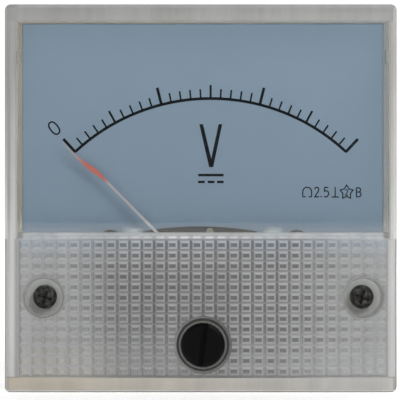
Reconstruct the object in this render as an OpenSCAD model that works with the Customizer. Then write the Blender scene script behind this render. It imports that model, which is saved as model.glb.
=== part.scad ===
// Square moving-coil panel meter, 64 mm face, direct-current voltmeter scale.
// Frame: millimetres, +Z up, the face looks towards -Y, +X is to the reader's right.
// The origin is the barrel's axis where it leaves the back of the flange, so
// the front surface of the panel that carries the meter lies in the plane Y = 0.
// Face coordinates (x, z) are counted from the middle of the face.

/* [Face] */
// Width of the face and of the flange behind it
face_w = 64; // [63.5:0.5:66]
// Height of the face and of the flange behind it
face_h = 63.4; // [63:0.2:66]
// Distance from the panel to the front of the cover
cover_depth = 14.5; // [14.2:0.1:15.5]
// Radius of the four upright corners
corner_r = 1.0; // [0.6:0.1:1.5]
// Height of the middle of the face over the barrel's axis
face_rise = 3.5; // [3:0.1:4.2]
// Offset of the window and of the prism panel to the reader's right
window_x = 0.4; // [0:0.1:0.6]

/* [Cover] */
// Thickness of the window and of the prism panel
window_t = 1.8; // [1.6:0.1:2]
// Columns of prisms
prism_cols = 30; // [20:1:32]
// Rows of prisms
prism_rows = 13; // [8:1:14]
// Depth of the grooves between the prisms
prism_depth = 0.45; // [0.25:0.05:0.5]
// Share of a prism's width that its flat top takes
prism_top_x = 0.42; // [0.35:0.01:0.6]
// Share of a prism's height that its flat top takes
prism_top_z = 0.32; // [0.3:0.01:0.5]
// Height of the two beads of the ridge under the window
ridge_h = 0.25; // [0.2:0.05:0.4]
// Diameter of the wells that the cover screws sink into
well_d = 6.2; // [5.6:0.1:6.6]
// Depth of the screw wells
well_depth = 4.5; // [3.5:0.1:4.7]

/* [Dial and pointer] */
// Thickness of the dial plate
dial_t = 0.5; // [0.3:0.1:0.6]
// Distance from the front of the dial plate to the panel
dial_y = 9.2; // [9:0.1:9.4]
// Length of the pointer from the pivot axis to its tip
pointer_l = 33.9; // [31:0.1:34]
// Angle of the resting pointer, left of upright
rest_deg = 45.8; // [44:0.1:46]
// Widest part of the pointer's blade
blade_w = 0.9; // [0.6:0.05:1.4]

/* [Movement] */
// Pivot axis, to the right of the face's middle
pivot_x = 1.5; // [0.5:0.1:2]
// Pivot axis, under the face's middle
pivot_drop = 14.45; // [14:0.05:15]
// Diameter of the iron core
core_d = 11; // [10:0.1:11.2]
// Diameter of the bore of the pole pieces
pole_bore_d = 14.5; // [14.3:0.1:15]
// Length of the pole pieces along the pivot axis
pole_l = 11; // [10.8:0.1:11]
// Width of the winding on each side of the coil
coil_w = 2.6; // [2:0.1:3]

/* [Barrel and terminals] */
// Diameter of the barrel behind the panel
barrel_d = 50.4; // [50.2:0.1:51]
// Length of the barrel behind the panel
barrel_l = 27; // [26:0.5:32]
// Distance between the two terminals
terminal_gap = 22; // [20:0.5:24]
// Diameter of the terminal studs
terminal_d = 4; // [3.5:0.5:4]
// How far the terminal studs reach behind the panel
terminal_reach = 43; // [42:0.5:50]

/* [Panel fixing] */
// Distance between the two mounting studs
stud_gap = 52; // [51:0.5:52]
// Diameter of the plain shank of the mounting studs
stud_d = 3; // [2.5:0.5:3]
// How far the mounting studs reach behind the panel
stud_reach = 15; // [12:0.5:20]

/* [Zero adjuster] */
// Diameter of the slotted cap
cap_d = 7.1; // [6.6:0.1:7.4]
// Distance from the cap's axis to its eccentric pin
eccentric = 1.3; // [1.1:0.05:1.3]

/* [Hidden] */
$fn = 64;

// Planes along the depth, front negative
y_front = -cover_depth;
y_glass = y_front + window_t;           // inner side of the window
y_dial = -dial_y;                       // front of the dial plate
flange_t = 3;
y_flange = -flange_t;
y_plate = -7.5;                         // front of the movement frame
y_bridge = -10.7;                       // front of the front bridge
bridge_t = 1;
y_blade = -10.6;                        // front of the pointer's blade
sheet_t = 0.25;
y_hub = -7.9;                           // front of the pointer's hub sheet
y_corr = -11.2;                         // front of the zero corrector
corr_t = 0.4;
corr_reach = 9.0;                       // upper arm of the zero corrector, from the pivot axis

// The cover's cavity and the dial, in face coordinates
cav_l = window_x - 30.6;
cav_r = window_x + 30.6;
cav_b = -29.95;
cav_t = 30.4;
dial_l = window_x - 29.75;
dial_r = window_x + 29.65;
dial_b = -9.6;
dial_top = 28.75;
ridge_z = -6.22;
screw_x = [window_x - 26.05, window_x + 26.1];
screw_z = -16.2;
dial_screw_x = [window_x - 15.3, window_x + 15.4];
dial_screw_z = -7.2;
adjuster_x = 0.35;
adjuster_z = -23.9;
notch_r = 56;

// Prism panel
prism_w = 60.2;
prism_z0 = -29.1;
prism_z1 = -6.75;
cell_x = prism_w / prism_cols;
cell_z = (prism_z1 - prism_z0) / prism_rows;
groove_w = 0.15;

// Movement
pz = -pivot_drop;
pole_r = pole_bore_d / 2;
core_r = core_d / 2;
former_t = 0.25;
wind_t = 0.6;
coil_in = core_r + 0.4;                 // half width inside the former
coil_out = coil_in + former_t + wind_t;
end_gap = 0.65;
core_half = pole_l / 2 + 0.2;
coil_y = core_half + end_gap;           // half length inside the former
coil_yo = coil_y + former_t + wind_t;
jewel_r = 1.2;
tip_y = coil_yo + 2.05;
frame_ear_x = [window_x - 18.6, window_x + 18.6];
frame_ear_z = -14.5;
bridge_foot = 12;
bend_deg = 1.2;                         // the stem stands this far clockwise of the tip's line
swing_lo = -2.6;                        // travel of the pointer from rest, to the lower stop
swing_hi = 93.2;                        // and to the upper stop
stop_r = 5.4;
stop_lead = asin((0.5 + 0.25 + 0.08) / stop_r);
stop_deg = [bend_deg - rest_deg + swing_lo - stop_lead, bend_deg - rest_deg + swing_hi + stop_lead];
pole_screw_x = 9.3;
pole_screw_z = 8.2;

// Zero corrector, seen from the pivot axis
adj_dx = adjuster_x - pivot_x;
adj_dz = adjuster_z - pz;
adj_dist = sqrt(adj_dx * adj_dx + adj_dz * adj_dz);
adj_ang = atan2(adj_dx, -adj_dz);       // turn of the corrector's arm from straight down
pin_d = 1;
pin_r_at = adj_dist - eccentric;

// Barrel
barrel_r = barrel_d / 2;
barrel_wall = 1.5;
barrel_in = barrel_r - barrel_wall;
y_end = barrel_l - barrel_wall;
post_x = [window_x - 26.05, window_x + 26.1];
stud_z = -24.5;

// ---------- helpers ----------

// a round bar along Y from y0 to y1
module bar(d, y0, y1, x = 0, z = 0, n = 64)
    translate([x, y1, z]) rotate([90, 0, 0]) cylinder(d = d, h = y1 - y0, $fn = n);

// a cone along Y, d0 at y0 and d1 at y1
module taper(d0, d1, y0, y1, x = 0, z = 0)
    translate([x, y1, z]) rotate([90, 0, 0]) cylinder(d1 = d1, d2 = d0, h = y1 - y0);

// a shape drawn in (x, z) and extruded along Y from y0 to y1
module slab(y0, y1)
    translate([0, y1, 0]) rotate([90, 0, 0]) linear_extrude(height = y1 - y0) children();

// the face's own frame and the pivot axis's own frame
module face() translate([0, 0, face_rise]) children();
module at_pivot() translate([pivot_x, 0, face_rise + pz]) children();
module turned(a) rotate([0, a, 0]) children();

// a rectangle between corners, and one with round corners
module rect(x0, z0, x1, z1) translate([x0, z0]) square([x1 - x0, z1 - z0]);
module round_rect(x0, z0, x1, z1, r) {
    rect(x0 + r, z0, x1 - r, z1);
    rect(x0, z0 + r, x1, z1 - r);
    for (x = [x0 + r, x1 - r], z = [z0 + r, z1 - r]) translate([x, z]) circle(r = r);
}

// a box between corners
module block(x0, y0, z0, x1, y1, z1) translate([x0, y0, z0]) cube([x1 - x0, y1 - y0, z1 - z0]);

// a screw from the front: slotted cheese head at y, shank to y_tip
module slotted_screw(x, z, head_d, head_h, d, y, y_tip, slot_deg = 0, from_back = false) {
    s = from_back ? -1 : 1;
    translate([x, 0, z])
    difference() {
        union() {
            if (from_back) {
                bar(head_d, y, y + head_h);
                bar(d, y_tip, y);
            } else {
                bar(head_d, y - head_h, y);
                bar(d, y, y_tip);
            }
        }
        translate([0, from_back ? y + head_h : y - head_h, 0])
            rotate([0, slot_deg, 0])
                cube([head_d * 0.18, head_h * 1.0, head_d + 1], center = true);
    }
}

// ---------- case ----------

module rear_base() color([0.86, 0.86, 0.83]) {
    difference() {
        union() {
            face() slab(y_flange, 0) round_rect(-face_w / 2, -face_h / 2, face_w / 2, face_h / 2, corner_r);
            // tray wall that the cover slips over and the dial lies in
            face() difference() {
                slab(y_dial, y_flange) rect(cav_l + 0.08, cav_b + 0.08, cav_r - 0.08, cav_t - 0.08);
                slab(y_dial - 1, y_flange + 1) rect(dial_l - 0.06, cav_b + 1.4, dial_r + 0.06, dial_top + 0.08);
                // room for the tubes of the cover's screw wells
                for (x = screw_x) bar(well_d + 2.3, y_dial - 1, y_front + well_depth + 1.8, x, screw_z);
            }
            bar(barrel_d, -0.5, barrel_l);
            // raised signs over the terminals
            for (s = [-1, 1]) block(s * terminal_gap / 2 - 1.9, barrel_l - 0.2, 9.05, s * terminal_gap / 2 + 1.9, barrel_l + 0.5, 9.95);
            block(terminal_gap / 2 - 0.45, barrel_l - 0.2, 7.6, terminal_gap / 2 + 0.45, barrel_l + 0.5, 11.4);
            // posts for the cover screws and for the dial's upper corners
            face() {
                for (x = screw_x) bar(5.4, y_front + well_depth + 1.8, y_flange + 0.5, x, screw_z);
                for (x = [dial_l + 3.2, dial_r - 3.2]) bar(4, y_dial + dial_t, y_flange + 0.5, x, 25.6);
            }
        }
        // the room for the movement
        bar(barrel_in * 2, y_flange - 0.5, y_end);
        face() {
            for (x = screw_x) bar(2.56, y_front + well_depth, -2.2, x, screw_z);
            for (s = [-1, 1]) bar(stud_d + 0.46, y_flange - 0.5, 0.5, s * stud_gap / 2, stud_z);
        }
        for (s = [-1, 1]) bar(terminal_d + 0.1, y_end - 1, barrel_l + 1, s * terminal_gap / 2, 0);
        // shallow ring and ejector marks in the moulding's end
        difference() {
            bar(43, barrel_l - 0.3, barrel_l + 1);
            bar(41.2, barrel_l - 1, barrel_l + 2);
        }
        for (a = [45 : 90 : 315]) turned(a) bar(3, barrel_l - 0.15, barrel_l + 1, 0, 17.4);
    }
    // columns that carry the movement, grown from the barrel's wall
    face() for (x = frame_ear_x) difference() {
        intersection() {
            union() {
                bar(5, y_plate + 2, y_end + 0.2, x, frame_ear_z);
                slab(y_plate + 3, y_end + 0.2)
                    rect(x > 0 ? x : x - 4, frame_ear_z - 1.5, x > 0 ? x + 4 : x, frame_ear_z + 1.5);
            }
            translate([0, 0, -face_rise]) bar(barrel_in * 2 + 0.6, y_plate, y_end + 0.4);
        }
        bar(2.06, y_plate, 4, x, frame_ear_z);
    }
}

// one column of prism profiles along x, or rows along z
module prism_profile(n, pitch, top) {
    for (i = [0 : n - 1]) translate([i * pitch, 0])
        polygon([[groove_w / 2, 0], [pitch / 2 - top * pitch / 2, prism_depth],
                 [pitch / 2 + top * pitch / 2, prism_depth], [pitch - groove_w / 2, 0]]);
    translate([0, -0.6]) square([n * pitch, 0.6]);
}

module front_cover() color([0.86, 0.88, 0.88, 0.35]) face() {
    difference() {
        union() {
            difference() {
                slab(y_front, y_flange) round_rect(-face_w / 2, -face_h / 2, face_w / 2, face_h / 2, corner_r);
                slab(y_glass, y_flange + 1) rect(cav_l, cav_b, cav_r, cav_t);
                // bevelled front edges
                for (s = [-1, 1]) {
                    translate([s * face_w / 2, y_front, 0]) rotate([0, 0, 45]) cube([0.85, 0.85, face_h + 2], center = true);
                    translate([0, y_front, s * face_h / 2]) rotate([45, 0, 0]) cube([face_w + 2, 0.85, 0.85], center = true);
                }
                // the prism panel is sunk and its prisms rise back to the face
                slab(y_front - 1, y_front + prism_depth) rect(window_x - prism_w / 2, prism_z0, window_x + prism_w / 2, prism_z1);
            }
            prism_block();
            // ridge under the window: two beads
            for (z = [ridge_z + 0.42, ridge_z - 0.36])
                translate([window_x - prism_w / 2, y_front + 0.02, z]) rotate([0, 90, 0]) cylinder(r = ridge_h, h = prism_w, $fn = 32);
            // smooth rings around the wells and around the adjuster
            for (x = screw_x) bar(well_d + 0.9, y_front, y_glass, x, screw_z);
            bar(cap_d + 2.4, y_front, y_glass, adjuster_x, adjuster_z);
            bar(cap_d + 1.35, y_front - 0.2, y_glass, adjuster_x, adjuster_z);
            // tubes of the wells
            for (x = screw_x) bar(well_d + 2, y_front + 0.5, y_front + well_depth + 1.8, x, screw_z);
            // pips on the window's side walls
            for (x = [cav_l, cav_r - 0.75]) block(x, y_glass - 0.1, 22.2, x + 0.75, y_glass + 2.2, 24.2);
        }
        for (x = screw_x) {
            bar(well_d, y_front - 1, y_front + well_depth, x, screw_z);
            taper(well_d + 0.5, well_d, y_front - 0.001, y_front + 0.3, x, screw_z);
            bar(2.9, y_front, y_front + well_depth + 3, x, screw_z);
        }
        bar(cap_d + 0.35, y_front - 1, y_front + 1, adjuster_x, adjuster_z);
        bar(4.06, y_front, y_glass + 1, adjuster_x, adjuster_z);
    }
}

// the prisms: what two crossed sets of bars with sloping sides share
module prism_block() intersection() {
    // bars that stand upright
    translate([window_x - prism_w / 2, y_front + prism_depth, prism_z0])
        linear_extrude(height = prism_z1 - prism_z0) mirror([0, 1]) prism_profile(prism_cols, cell_x, prism_top_x);
    // bars that lie across
    translate([window_x - prism_w / 2, y_front + prism_depth, prism_z0])
        rotate([90, 0, 90]) linear_extrude(height = prism_w) rotate(90) prism_profile(prism_rows, cell_z, prism_top_z);
}

module cross_screw(x, z) translate([x, 0, z]) {
    yh = y_front + well_depth;
    difference() {
        union() {
            bar(3.9, yh - 0.9, yh);
            taper(2.7, 3.9, yh - 1.5, yh - 0.9);
            bar(2.5, yh, -3.4);
            taper(2.5, 1.2, -3.4, -2.6);
        }
        for (a = [20, 110]) translate([0, yh - 1.5, 0]) rotate([0, a, 0]) cube([0.5, 1.5, 2.3], center = true);
        taper(0.9, 0.4, yh - 1.6, yh - 0.4);
    }
}

module cover_screws() color([0.12, 0.12, 0.12]) face() for (x = screw_x) cross_screw(x, screw_z);

// ---------- dial ----------

module dial_plate() color([0.5, 0.57, 0.63]) face() difference() {
    slab(y_dial, y_dial + dial_t) rect(dial_l, dial_b, dial_r, dial_top);
    // shallow arched notch over the movement
    slab(y_dial - 1, y_dial + dial_t + 1) union() {
        rect(-9.75, dial_b - 1, 9.35, -5.45);
        intersection() {
            translate([-0.2, -4.62 - notch_r]) circle(r = notch_r, $fn = 180);
            rect(-9.75, -6, 9.35, -4);
        }
    }
    for (x = dial_screw_x) bar(2.1, y_dial - 1, y_dial + dial_t + 1, x, dial_screw_z);
}

module dial_screws() color([0.16, 0.13, 0.11]) face()
    for (i = [0, 1]) slotted_screw(dial_screw_x[i], dial_screw_z, 4.1, 0.8, 2, y_dial, y_plate + 1.2, 30 + 50 * i);

// ---------- movement, fixed parts ----------

module movement_frame() color([0.13, 0.13, 0.14]) {
    face() difference() {
        union() {
            slab(y_plate, y_plate + 2) {
                round_rect(window_x - 17, -23.6, window_x + 17, -4.4, 2.5);
                for (x = frame_ear_x) {
                    translate([x, frame_ear_z]) circle(d = 5.4);
                    rect(min(x, window_x), frame_ear_z - 2.7, max(x, window_x), frame_ear_z + 2.7);
                }
            }
            // pads under the dial
            for (x = dial_screw_x) bar(4.4, y_dial + dial_t, y_plate + 0.5, x, dial_screw_z);
        }
        for (x = dial_screw_x) bar(2.04, y_dial, y_plate + 1.5, x, dial_screw_z);
        for (x = frame_ear_x) bar(2.2, y_plate - 1, y_plate + 3, x, frame_ear_z);
        // room for the coil
        bar(15.6, y_plate - 1, y_plate + 3, pivot_x, pz);
        for (s = [-1, 1]) {
            bar(1.66, y_plate - 1, y_plate + 3, pivot_x + s * bridge_foot, pz);
            bar(2.06, y_plate + 0.4, y_plate + 3, pivot_x + s * pole_screw_x, pz);
            bar(2.06, y_plate + 0.4, y_plate + 3, pivot_x + s * pole_screw_x, pz + pole_screw_z);
        }
    }
}

module movement_screws() color([0.62, 0.62, 0.6]) face()
    for (i = [0, 1]) slotted_screw(frame_ear_x[i], frame_ear_z, 3.6, 1.3, 2, y_plate, 2, 15 + 70 * i);

// one pole piece, drawn for the reader's right: an upright bar with a hollowed foot
module pole_outline() difference() {
    polygon([[7, 24], [7, 10.4], [3.2, 8.4], [3.2, -9.2], [9.4, -9.2], [11.5, -7], [11.5, 24]]);
    circle(r = pole_r, $fn = 96);
}

module pole_pieces() color([0.42, 0.42, 0.43]) at_pivot() difference() {
    slab(-pole_l / 2, pole_l / 2) {
        pole_outline();
        mirror([1, 0]) pole_outline();
    }
    for (s = [-1, 1], z = [0, pole_screw_z]) bar(2.1, -pole_l, pole_l, s * pole_screw_x, z);
}

module magnet() color([0.3, 0.3, 0.32]) at_pivot()
    slab(-5, 5) round_rect(-7, 12.6, 7, 22.6, 0.4);

module iron_core() color([0.5, 0.5, 0.5]) at_pivot() {
    bar(core_d - 0.6, -core_half, core_half);
    bar(core_d, -core_half + 0.3, core_half - 0.3);
}

// non-magnetic spider: a thin ring behind the poles and two tongues that hold the core
module core_bracket() color("goldenrod") at_pivot() difference() {
    union() {
        slab(pole_l / 2, pole_l / 2 + 0.4) difference() {
            circle(r = 9);
            circle(r = pole_r + 0.3);
        }
        for (s = [-1, 1]) {
            slab(-pole_l / 2 + 0.5, pole_l / 2) rect(-1.9, min(s * core_r * 0.9, s * 8), 1.9, max(s * core_r * 0.9, s * 8));
            slab(pole_l / 2 - 0.01, pole_l / 2 + 0.4) rect(-1.9, min(s * core_r * 0.9, s * 8), 1.9, max(s * core_r * 0.9, s * 8));
        }
    }
    bar(core_d + 0.04, -pole_l, pole_l);
    for (s = [-1, 1]) bar(2.3, -pole_l, pole_l, s * pole_screw_x, 0);
}

module pole_screws() color([0.62, 0.62, 0.6]) at_pivot()
    for (s = [-1, 1]) slotted_screw(s * pole_screw_x, pole_screw_z, 3.6, 1.3, 2, pole_l / 2, y_plate + 0.7, 30 * s, true);

// bar with a middle boss, two feet and two stops for the pointer
module front_bridge() color([0.55, 0.53, 0.49]) at_pivot() difference() {
    union() {
        slab(y_bridge, y_bridge + bridge_t) {
            rect(-bridge_foot, -2.1, bridge_foot, 2.1);
            circle(d = 6);
            for (s = [-1, 1]) translate([s * bridge_foot, 0]) circle(r = 2.1);
            for (a = stop_deg) translate([stop_r * sin(a), 0]) rect(-0.6, 0, 0.6, stop_r * cos(a) + 0.55);
        }
        for (s = [-1, 1]) bar(4.2, y_bridge + bridge_t - 0.1, y_plate, s * bridge_foot, 0);
        for (a = stop_deg) bar(1, y_bridge + 0.1, y_hub + sheet_t, stop_r * sin(a), stop_r * cos(a), 32);
    }
    bar(jewel_r * 2 + 0.06, y_bridge - 1, y_bridge + bridge_t + 1);
    for (s = [-1, 1]) bar(1.7, y_bridge - 1, y_plate + 1, s * bridge_foot, 0);
}

module front_bridge_screws() color([0.62, 0.62, 0.6]) at_pivot()
    for (s = [-1, 1]) slotted_screw(s * bridge_foot, 0, 2.8, 1, 1.6, y_bridge, y_plate + 1.6, 60 * s);

module rear_bridge() color([0.72, 0.62, 0.36]) at_pivot() difference() {
    union() {
        slab(-y_bridge - bridge_t, -y_bridge) {
            rect(-pole_screw_x, -2.1, pole_screw_x, 2.1);
            circle(d = 6);
            for (s = [-1, 1]) translate([s * pole_screw_x, 0]) circle(r = 2.1);
        }
        for (s = [-1, 1]) bar(3.4, pole_l / 2 + 0.4, -y_bridge - bridge_t + 0.1, s * pole_screw_x, 0);
    }
    bar(jewel_r * 2 + 0.06, 5, 15);
    for (s = [-1, 1]) bar(2.1, 0, 15, s * pole_screw_x, 0);
}

module rear_bridge_screws() color([0.62, 0.62, 0.6]) at_pivot()
    for (s = [-1, 1]) slotted_screw(s * pole_screw_x, 0, 3.6, 1.3, 2, -y_bridge, y_plate + 0.7, 45 * s, true);

// a jewel screw, drawn for the rear: slotted at the back, hollow cone at the front
module jewel_screw() difference() {
    bar(jewel_r * 2, tip_y - 0.35, 12.2);
    taper(0.9, 0.2, tip_y - 0.36, tip_y + 0.15);
    translate([0, 12.2, 0]) cube([0.4, 0.9, 4], center = true);
}

module jewel_screws() color([0.75, 0.65, 0.35]) at_pivot() {
    jewel_screw();
    mirror([0, 1, 0]) jewel_screw();
}

module jewel_nuts() color([0.8, 0.7, 0.4]) at_pivot() for (s = [0, 1]) mirror([0, s, 0]) difference() {
    bar(4.2, 11.25, 11.9, 0, 0, 6);
    bar(jewel_r * 2 + 0.04, 10, 13);
}

// tag that holds the outer end of the rear hairspring
module spring_tag() color([0.8, 0.7, 0.4]) at_pivot() {
    difference() {
        slab(10.75, 11.15) {
            circle(r = 2.2);
            rect(-0.6, -4.6, 0.6, 0);
        }
        bar(jewel_r * 2 + 0.1, 10, 12);
    }
    block(-0.6, 8, -4.6, 0.6, 10.76, -4.2);
}

// arm that shifts the outer end of the front hairspring; its fork takes the eccentric pin
// and its long upper end shows behind the window's lower edge
module zero_corrector() color([0.8, 0.7, 0.4]) at_pivot() {
    difference() {
        slab(y_corr, y_corr + corr_t) {
            circle(r = 2.3);
            rect(-0.6, 0, 0.6, corr_reach);
            translate([0, corr_reach]) circle(r = 0.6, $fn = 32);
            rotate(adj_ang) {
                rect(-0.8, -pin_r_at + 1, 0.8, 0);
                round_rect(-1.45, -pin_r_at - 1.1, 1.45, -pin_r_at + 1.6, 0.3);
            }
        }
        bar(jewel_r * 2 + 0.1, y_corr - 1, y_corr + 1);
        slab(y_corr - 1, y_corr + 1) rotate(adj_ang)
            rect(-pin_d / 2 - 0.06, -pin_r_at - 2, pin_d / 2 + 0.06, -pin_r_at + 0.9);
    }
    block(-0.6, y_corr + corr_t - 0.01, 4.25, 0.6, -8.25, 4.7);
}

module zero_adjuster() color([0.05, 0.05, 0.05]) face() translate([adjuster_x, 0, adjuster_z]) {
    difference() {
        union() {
            taper(cap_d - 1, cap_d, y_front - 0.5, y_front - 0.2);
            bar(cap_d, y_front - 0.2, y_front + 0.94);
            bar(4, y_front + 0.9, y_glass + 0.1);
            bar(5.4, y_glass + 0.05, y_glass + 0.65);
        }
        translate([0, y_front - 0.5, 0]) rotate([0, 8, 0]) cube([0.8, 1.4, cap_d + 2], center = true);
    }
    rotate([0, -adj_ang, 0]) bar(pin_d, y_glass + 0.6, y_corr + corr_t + 0.2, 0, eccentric, 32);
}

// ---------- movement, moving parts ----------

// everything here is drawn upright and turned to the pointer's place at rest
module at_coil() at_pivot() turned(-rest_deg) children();

stem_r = 6.9;
lance_r0 = 24.3;

module pointer() color([0.88, 0.8, 0.78]) at_coil() rotate([0, bend_deg, 0]) {
    // hub sheet with its tail and two side arms
    difference() {
        slab(y_hub, y_hub + sheet_t) {
            circle(r = 1.9);
            rect(-0.25, 0, 0.25, 5.9);
            rect(-0.3, -7.2, 0.3, 0);
            rect(-4.7, -0.3, 4.7, 0.3);
        }
        bar(0.74, y_hub - 1, y_hub + 1, 0, 0, 32);
    }
    // step forward to the plane of the blade
    translate([-0.25, 0, 0]) rotate([90, 0, 90]) linear_extrude(height = 0.5)
        polygon([[y_hub + sheet_t, 5.6], [y_hub + sheet_t, 5.9], [y_blade + sheet_t, stem_r], [y_blade, stem_r], [y_blade, stem_r - 0.3], [y_hub, 5.6]]);
    // thin stem
    slab(y_blade, y_blade + sheet_t) polygon([[-0.25, stem_r - 0.1], [0.25, stem_r - 0.1], [0.2, lance_r0 + 0.2], [-0.2, lance_r0 + 0.2]]);
    // lance blade, set over sideways at its root
    slab(y_blade, y_blade + sheet_t) translate([0, lance_r0]) lance(pointer_l - lance_r0, -0.7);
}

// blade of length l whose tip lies `over` to one side of the stem's line:
// each station gives the share of the length, the share of the shift and half the width
function lance_stations() = [[0, 0, 0.2], [0.1, 0.04, 0.27], [0.184, 0.12, blade_w * 0.41], [0.28, 0.3, blade_w * 0.5], [0.365, 0.5, blade_w * 0.44],
    [0.5, 0.74, 0.28], [0.645, 0.95, 0.17], [0.8, 1, 0.1], [1, 1, 0.05]];
module lance(l, over) polygon(concat([for (p = lance_stations()) [over * p[1] + p[2], l * p[0]]],
    reversed([for (p = lance_stations()) [over * p[1] - p[2], l * p[0]]])));

module balance_weights() color([0.75, 0.65, 0.35]) at_coil() rotate([0, bend_deg, 0]) {
    for (s = [-1, 1]) translate([s * 3.8, y_hub + sheet_t / 2, 0]) rotate([0, 90, 0]) weight(0.43, 1.2);
    translate([0, y_hub + sheet_t / 2, -5.75]) weight(1.15, 2.3);
}

// a coil of wire wound on an arm
module weight(r, l) difference() {
    cylinder(r = r, h = l, center = true, $fn = 32);
    cube([0.62, 0.27, l + 1], center = true);
    rotate([0, 0, 90]) cube([0.27, 0.62, l + 1], center = true);
}

module coil_former() color([0.8, 0.8, 0.82]) at_coil() difference() {
    block(-coil_in - former_t, -coil_y - former_t, -coil_w / 2 - 0.2, coil_in + former_t, coil_y + former_t, coil_w / 2 + 0.2);
    block(-coil_in, -coil_y, -5, coil_in, coil_y, 5);
}

module moving_coil() color([0.62, 0.3, 0.14]) at_coil() translate([0, 0, -coil_w / 2]) linear_extrude(height = coil_w) difference() {
    round_rect(-coil_out, -coil_yo, coil_out, coil_yo, 0.8);
    rect(-coil_in - former_t, -coil_y - former_t, coil_in + former_t, coil_y + former_t);
}

module pivot() {
    bar(2.4, coil_yo, coil_yo + 0.3, 0, 0, 32);
    bar(0.7, coil_yo + 0.2, tip_y - 0.55, 0, 0, 32);
    taper(0.7, 0.08, tip_y - 0.55, tip_y);
}

module pivots() color([0.7, 0.7, 0.72]) at_coil() {
    pivot();
    mirror([0, 1, 0]) pivot();
}

// flat spiral of thin strip: turns between r0 and r1, ending at angle 0
spring_t = 0.1;
function spiral(r0, r1, turns, off, n = 22) = [for (i = [0 : turns * n]) let (a = 360 * i / n, r = r0 + (r1 - r0) * i / (turns * n) + off) [r * sin(a), r * cos(a)]];
function reversed(v) = [for (i = [len(v) - 1 : -1 : 0]) v[i]];

module hairspring(y, end_deg) {
    slab(y, y + 0.45) rotate(end_deg)
        polygon(concat(spiral(0.72, 4.1, 5, spring_t / 2), reversed(spiral(0.72, 4.1, 5, -spring_t / 2))));
    difference() {
        bar(1.7, y - 0.02, y + 0.47, 0, 0, 32);
        bar(0.74, y - 1, y + 1, 0, 0, 32);
    }
}

module front_hairspring() color([0.75, 0.5, 0.25]) at_pivot() hairspring(-8.75, 0);

module rear_hairspring() color([0.75, 0.5, 0.25]) at_pivot() hairspring(8.3, 180);

// ---------- terminals ----------

module terminal_studs() color([0.78, 0.66, 0.38]) for (s = [-1, 1]) translate([s * terminal_gap / 2, 0, 0]) {
    difference() {
        union() {
            bar(8.08, y_end - 3.1, y_end - 0.6, 0, 0, 6);
            bar(terminal_d, y_end - 0.7, terminal_reach - 0.4);
            taper(terminal_d, terminal_d - 0.8, terminal_reach - 0.4, terminal_reach);
        }
        // run-out groove behind the clamping nut
        difference() {
            bar(terminal_d + 1, barrel_l + 8.1, barrel_l + 8.8);
            bar(terminal_d - 0.6, barrel_l + 8, barrel_l + 9);
        }
    }
}

module terminal_washers() color([0.8, 0.78, 0.72]) for (s = [-1, 1], y = [barrel_l, barrel_l + 4.05]) difference() {
    bar(8.6, y, y + 0.8, s * terminal_gap / 2, 0);
    bar(terminal_d + 0.3, y - 1, y + 2, s * terminal_gap / 2, 0);
}

module terminal_nuts() color([0.8, 0.7, 0.42]) for (s = [-1, 1], y = [barrel_l + 0.8, barrel_l + 4.85]) difference() {
    translate([s * terminal_gap / 2, 0, 0]) rotate([0, y * 13 + s * 9, 0]) intersection() {
        bar(8.08, y, y + 3.2, 0, 0, 6);
        union() {
            taper(7, 8.3, y, y + 0.35);
            bar(8.3, y + 0.35, y + 2.85);
            taper(8.3, 7, y + 2.85, y + 3.2);
        }
    }
    bar(terminal_d + 0.04, y - 1, y + 5, s * terminal_gap / 2, 0);
}

module solder_lugs() color([0.8, 0.78, 0.72]) for (s = [-1, 1]) translate([s * terminal_gap / 2, 0, 0]) difference() {
    slab(y_end - 0.55, y_end) {
        circle(r = 4);
        rotate(s * 60) rect(-1.3, 0, 1.3, 8.2);
        rotate(s * 60) translate([0, 8.2]) circle(r = 1.3);
    }
    bar(terminal_d + 0.1, y_end - 2, y_end + 1);
    rotate([0, -s * 60, 0]) bar(1.1, y_end - 2, y_end + 1, 0, 8.2);
}

// where the lugs' solder holes lie
function lug_end(s) = [s * terminal_gap / 2 - s * 8.2 * sin(60), y_end, 8.2 * cos(60)];

module wire(a, b, d) {
    v = b - a;
    l = norm(v);
    translate(a) rotate([0, acos(v[2] / l), atan2(v[1], v[0])]) cylinder(d = d, h = l, $fn = 24);
}

module route(p, d) for (i = [0 : len(p) - 2]) {
    wire(p[i], p[i + 1], d);
    if (i > 0) translate(p[i]) sphere(d = d * 1.1, $fn = 24);
}

module series_resistor() color([0.55, 0.68, 0.8]) {
    translate([-4.2, 20.6, 11]) rotate([0, 90, 0]) {
        cylinder(d = 2.3, h = 6.6);
        translate([0, 0, -0.2]) cylinder(d = 2.7, h = 1.5);
        translate([0, 0, 5.3]) cylinder(d = 2.7, h = 1.5);
    }
    route([[-4.2, 20.6, 11], [-6.4, 20.6, 11], [-6.4, 20.6, 7.5], [lug_end(-1)[0] + 0.1, y_end - 0.62, lug_end(-1)[2] + 0.4]], 0.6);
    route([[2.4, 20.6, 11], [4.6, 20.6, 11], [4.6, 20.6, 8.2]], 0.6);
}

module lead_wires() color([0.7, 0.12, 0.1]) {
    // from the resistor round the pole piece to the front bridge
    route([[4.6, 20.6, 8.0], [9, 18, 2], [16.2, 10, -5.6], [16.2, -4.6, -5.6]], 1.1);
    // from the right lug to the rear hairspring's tag
    route([[lug_end(1)[0], y_end - 1.2, lug_end(1)[2]], [3.2, 20.5, -1], [1.5, 15, -10], [1.5, 11.9, -14.2]], 1.1);
}

// ---------- panel fixing ----------

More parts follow.
